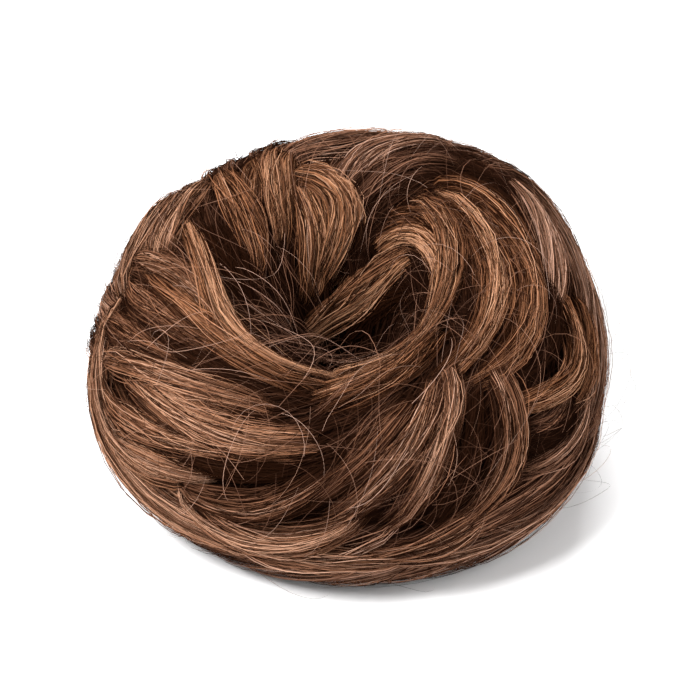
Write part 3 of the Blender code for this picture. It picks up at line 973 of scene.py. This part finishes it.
def hair_material():
    """A strand's finish, from its tone attribute."""
    material, t, shader = plain_material("hair_strands", HAIR_ROUGHNESS, 0.0)
    tone = t.tree.nodes.new("ShaderNodeAttribute")
    tone.attribute_name = "tone"
    warmth = t.tree.nodes.new("ShaderNodeAttribute")
    warmth.attribute_name = "warmth"
    colour = add_colour(t, tone.outputs["Fac"], warmth.outputs["Fac"], HAIR_UNEVENNESS)
    t.put(shader.inputs["Base Color"], colour)
    return material


HAIR = hair_material()
print("material", HAIR.name)

# %% [markdown]
# ## The body under the strands
# Between the strands the eye meets more hair, deeper down. A dark ring with the locks' own swells
# stands in for those inner layers, which would take millions of strands more; its dark colour is
# painted shade, for the shade that lies deep between the locks. Rows of points are skinned into one
# closed mesh, the ring first and then every lock. The map follows the hair, across a lock and then
# along it, for the streaks of the next step.

# %% The body under the strands
BODY_INSET = 0.0048
LOCK_INSET = 0.0012
BODY_TURNS = 90
BODY_SIDES = 32
BODY_SLANT = 0.9
SWELL_SECTIONS = 14
SWELL_SIDES = 10
RING_MAP_MM = (360.0, 160.0)
LOCK_MAP_ROUND = 2.4
LOCK_MAP_LENGTH_MM = 70.0


def skin(bm, uv, rings, closed, size):
    """Skins rows of points. The size is that of the map, round and along, in millimetres."""
    rows = [[bm.verts.new(p) for p in ring] for ring in rings]
    count = len(rows) if closed else len(rows) - 1
    sides = len(rows[0])
    for i in range(count):
        low, high = rows[i], rows[(i + 1) % len(rows)]
        for j in range(sides):
            k = (j + 1) % sides
            face = bm.faces.new((low[j], low[k], high[k], high[j]))
            face.smooth = True
            corners = ((j, i), (j + 1, i), (j + 1, i + 1), (j, i + 1))
            for loop, (a, b) in zip(face.loops, corners):
                loop[uv].uv = (a / sides * size[0], b / count * size[1])
    if not closed:
        bm.faces.new(rows[0])
        bm.faces.new(rows[-1])


def add_ring(bm, uv):
    """The ring, in rows that run from the base over the crest and slant as the hair does."""
    rise = np.radians(np.linspace(-90, 270, BODY_SIDES, endpoint=False))
    turn = np.linspace(0, 2 * np.pi, BODY_TURNS, endpoint=False)
    rises, turns = np.meshgrid(rise, turn, indexing="ij")
    rings = bun_points(turns + (rises - np.pi / 2) * BODY_SLANT, rises, -BODY_INSET)
    rings[..., 2] = np.maximum(rings[..., 2], FLOOR_CLEARANCE)
    skin(bm, uv, rings, True, RING_MAP_MM)


def add_swell(bm, uv, lock):
    """A lock's own swell."""
    t = np.linspace(0, 1, SWELL_SECTIONS + 1)
    section = lock_frame(lock, t)
    angle = np.linspace(0, 2 * np.pi, SWELL_SIDES, endpoint=False)[:, None]
    rings = []
    for i in range(len(t)):
        across = section.side[i] * (section.half_width[i] - LOCK_INSET) * np.cos(angle)
        up = section.up[i] * (section.half_depth[i] - LOCK_INSET) * np.sin(angle)
        rings.append(section.middle[i] + across + up)
    rings = np.array(rings)
    rings[..., 2] = np.maximum(rings[..., 2], FLOOR_CLEARANCE)
    skin(bm, uv, rings, False, (lock.width * LOCK_MAP_ROUND, LOCK_MAP_LENGTH_MM))


def make_body(name, locks, material, ring=False):
    """The dark inside of some locks, with the ring below them if it is asked for."""
    bm = bmesh.new()
    uv = bm.loops.layers.uv.new("flow")
    if ring:
        add_ring(bm, uv)
    for lock in locks:
        add_swell(bm, uv, lock)
    bmesh.ops.recalc_face_normals(bm, faces=bm.faces)
    mesh = bpy.data.meshes.new(name)
    bm.to_mesh(mesh)
    bm.free()
    mesh.materials.append(material)
    obj = bpy.data.objects.new(name, mesh)
    bpy.context.scene.collection.objects.link(obj)
    triangles[name] = sum(len(p.vertices) - 2 for p in mesh.polygons)
    print(name, "triangles", triangles[name])
    return obj


print("a lock's swell has", SWELL_SECTIONS * SWELL_SIDES, "faces round it")

# %% [markdown]
# ## Material of the body
# Noise that is stretched along the map makes fine streaks, in the colour and as a low bump. Deep
# hair is seen only in slits between strands, so streaks are enough there, where real strands would
# cost faces that nobody sees.

# %% Material of the body
STREAKS_PER_MM = 2.4
STREAK_LENGTH_MM = 22.0
STREAK_NOISE = (0.35, 0.75)
# Low tones: the body's dark is painted shade.
STREAK_TONES = (-0.1, 0.35)
STREAK_RELIEF = 0.0005
DEPTH_UNEVENNESS = 0.2


def body_material():
    """Hair seen between the strands, painted dark as shade: streaks in colour and in relief."""
    material, t, shader = plain_material("hair_depth_shade", 1.0, 0.0)
    place = t.tree.nodes.new("ShaderNodeUVMap")
    place.uv_map = "flow"
    stretch = t.tree.nodes.new("ShaderNodeMapping")
    stretch.inputs["Scale"].default_value = (STREAKS_PER_MM, 1 / STREAK_LENGTH_MM, 1.0)
    t.put(stretch.inputs["Vector"], place.outputs["UV"])
    noise = t.noise(stretch.outputs["Vector"], 1.0, 3.0)
    tone = t.tree.nodes.new("ShaderNodeMapRange")
    sockets = ("From Min", "From Max", "To Min", "To Max")
    for socket, value in zip(sockets, STREAK_NOISE + STREAK_TONES):
        tone.inputs[socket].default_value = value
    t.put(tone.inputs["Value"], noise.outputs["Fac"])
    colour = add_colour(t, tone.outputs["Result"], DEPTH_WARMTH, DEPTH_UNEVENNESS)
    t.put(shader.inputs["Base Color"], colour)
    bump = t.tree.nodes.new("ShaderNodeBump")
    bump.inputs["Strength"].default_value = 0.7
    bump.inputs["Distance"].default_value = STREAK_RELIEF
    t.put(bump.inputs["Height"], noise.outputs["Fac"])
    t.put(shader.inputs["Normal"], bump.outputs["Normal"])
    return material


DEPTH = body_material()
print("material", DEPTH.name)

# %% [markdown]
# ## The ring's body
# Every piece rides on the bun's one body and takes the place of the solid that it dresses. The first
# one is the ring's dark inside.

# %% The ring's body


def finish_piece(piece, node):
    """Puts a piece of hair on the bun's body and hides the solid that it dresses."""
    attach(piece, "root")
    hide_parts(node)


ring_locks = LEFT_LOCKS + FRONT_LOCKS + RIGHT_LOCKS + back_locks() + skirt_locks() + lining_locks()
finish_piece(make_body("hair_body", ring_locks, DEPTH, ring=True), "hair_ring")

# %% [markdown]
# ## Strands of the ring
# The ring's hair is kept in a few pieces, so that each stays a fair size: an under coat that slants
# all the way round, then left, front, right, the far side, the skirt and the lining of the hole.
# Rows that show less have fewer and thicker strands. The left and front are the most coppery; the
# right, the far side and the skirt are more ash, partly dye and partly painted sheen.

# %% Strands of the ring
RingPiece = namedtuple("RingPiece", "name locks step strands radius tint warmth")
RING_PIECES = [
    # name, locks, mm between bundles, strands in a bundle, strand radius, change of tone, warmth
    RingPiece("coat_hair", coat_locks(), 1.6, 9, 0.00011, 0.45, 0.25),
    RingPiece("left_hair", LEFT_LOCKS, 0.9, 48, STRAND_RADIUS, 1.0, 0.4),
    RingPiece("front_hair", FRONT_LOCKS, 0.9, 48, STRAND_RADIUS, 1.0, 0.35),
    RingPiece("right_hair", RIGHT_LOCKS, 0.9, 41, STRAND_RADIUS, 1.0, 0.15),
    RingPiece("back_hair", back_locks(), 0.9, 22, 0.00010, 1.0, 0.1),
    RingPiece("skirt_hair", skirt_locks(), 1.5, 12, 0.00011, 1.0, 0.1),
    RingPiece("hole_hair", lining_locks(), 1.2, 14, 0.00009, 0.6, 0.2),
]

for row in RING_PIECES:
    guides = [g for lock in row.locks for g in lock_guides(lock, row.strands, row.step)]
    sizes = {"strand_radius": row.radius, "tint": row.tint, "warmth": row.warmth}
    piece = make_strands(row.name, guides, HAIR, **sizes)
    finish_piece(piece, "hair_ring")

# %% [markdown]
# ## Loose locks
# Eight locks lie loose over the ring, and carry the brightest hair. Each is two pieces: its dark
# inside and its strands. They are made as the ring's are, so that they lie down into it without a
# seam, but each stays apart, because on the real bun such a lock can be pulled loose by itself.

# %% Loose locks
LOOSE_STRANDS = 56

for node, locks in LOOSE_LOCKS.items():
    inside = make_body(node + "_inside", locks, DEPTH)
    guides = [g for lock in locks for g in lock_guides(lock, LOOSE_STRANDS)]
    piece = make_strands(node + "_hair", guides, HAIR)
    for part in (inside, piece):
        finish_piece(part, node)

# %% [markdown]
# ## Stray hairs
# Worn and brushed hair always has strays: single fine hairs that arc over the locks, across the
# flow, and stand a few millimetres off the outline. Each one walks over the bun's form from a
# random place, with its own heading and curl, and rises in the middle. Without them the outline
# would look moulded. All of them walk at once, a step at a time, as rows of one array.

# %% Stray hairs
STRAYS = 1500
STRAY_POINTS = 12
STRAY_RADIUS = 0.00004
STRAY_RISES = (-15, 130)
STRAY_LENGTHS = (0.012, 0.038)
STRAY_TONES = (0.15, 0.75)
STRAY_HEADING = math.pi / 2 - 0.9
HEADING_SPREAD = 0.5
STRAY_CURL = 50.0
STRAY_LIFT = 0.0004
LOW_ARCH = 0.0010
ARCH_SPREAD = 0.0012
HIGH_ARCH = 0.0040
HIGH_SHARE = 0.30


def stray_guides():
    """The strays' guides, all worked out together."""
    turn = rng.uniform(0, 2 * np.pi, STRAYS)
    rise = np.radians(rng.uniform(*STRAY_RISES, STRAYS))
    length = rng.uniform(*STRAY_LENGTHS, STRAYS)
    heading = STRAY_HEADING + rng.normal(0, HEADING_SPREAD, STRAYS)
    curl = rng.normal(0, STRAY_CURL, STRAYS)
    high = LOW_ARCH + ARCH_SPREAD * np.abs(rng.normal(0, 1, STRAYS))
    high = high + HIGH_ARCH * (rng.random(STRAYS) < HIGH_SHARE)
    tone = rng.uniform(*STRAY_TONES, STRAYS)
    step = length / (STRAY_POINTS - 1)
    small = 0.001
    rows = []
    for i in range(STRAY_POINTS):
        share = i / (STRAY_POINTS - 1)
        lift = STRAY_LIFT + high * math.sin(math.pi * share) ** 0.8
        rows.append(bun_points(turn, rise, lift))
        per_turn = bun_points(turn + small, rise, 0) - bun_points(turn - small, rise, 0)
        per_rise = bun_points(turn, rise + small, 0) - bun_points(turn, rise - small, 0)
        turn = turn + step * np.cos(heading) / np.linalg.norm(per_turn / (2 * small), axis=1)
        rise = rise + step * np.sin(heading) / np.linalg.norm(per_rise / (2 * small), axis=1)
        heading = heading + curl * step
    places = np.stack(rows, 1)
    out = unit(places - np.array((0, 0, WAIST_HEIGHT)))
    ahead = unit(np.gradient(places, axis=1))
    across = unit(np.cross(ahead, out))
    still = np.zeros(STRAY_POINTS)
    one = np.ones(STRAY_POINTS)
    guides = []
    for k in range(STRAYS):
        guides.append(Guide(places[k], across[k], out[k], still, one * tone[k], one, 1))
    return guides


stray_sizes = {"strand_radius": STRAY_RADIUS, "wander": 0.0020, "wander_size": 0.022}
stray_sizes["warmth"] = 0.0
strays = make_strands("stray_hair", stray_guides(), HAIR, **stray_sizes)
finish_piece(strays, "hair_ring")

# %% [markdown]
# ## Elastic band
# The band inside the hair is braided elastic. Its solid has the right shape, so it stays and only
# gets a finish: small dark cells for the braid. They are worked out from the place in space, so the
# solid's loose triangles need no map.

# %% Elastic band
BRAID_CELLS = 1400.0
BRAID_DARK = (0.012, 0.011, 0.010, 1)
BRAID_LIGHT = (0.05, 0.046, 0.042, 1)
ELASTIC_ROUGHNESS = 0.8
ELASTIC_SPECULAR = 0.3


def elastic_material():
    """Black braid in small cells."""
    material, t, shader = plain_material("elastic", ELASTIC_ROUGHNESS, ELASTIC_SPECULAR)
    place = t.tree.nodes.new("ShaderNodeTexCoord")
    braid = t.tree.nodes.new("ShaderNodeTexVoronoi")
    braid.inputs["Scale"].default_value = BRAID_CELLS
    t.put(braid.inputs["Vector"], place.outputs["Object"])
    ramp = t.tree.nodes.new("ShaderNodeValToRGB")
    ramp.color_ramp.elements[0].color = BRAID_DARK
    ramp.color_ramp.elements[1].color = BRAID_LIGHT
    t.put(ramp.inputs["Fac"], braid.outputs["Distance"])
    t.put(shader.inputs["Base Color"], ramp.outputs["Color"])
    return material


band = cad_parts["elastic_band"]
band.material_slots[0].material = elastic_material()
print("band", band.name, "material", band.material_slots[0].material.name)

# %% [markdown] ## Finish The count of triangles shows that no piece is too heavy to pass on, and
# the two boxes show how far the hair stands out past the solids.

# %% Finish
print("triangles in all", sum(triangles.values()), "largest", max(triangles.values()))
new_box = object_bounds()
print("boxes", cad_box, new_box)
sizes = {"cad": [list(corner) for corner in cad_box], "visual": [list(corner) for corner in new_box]}
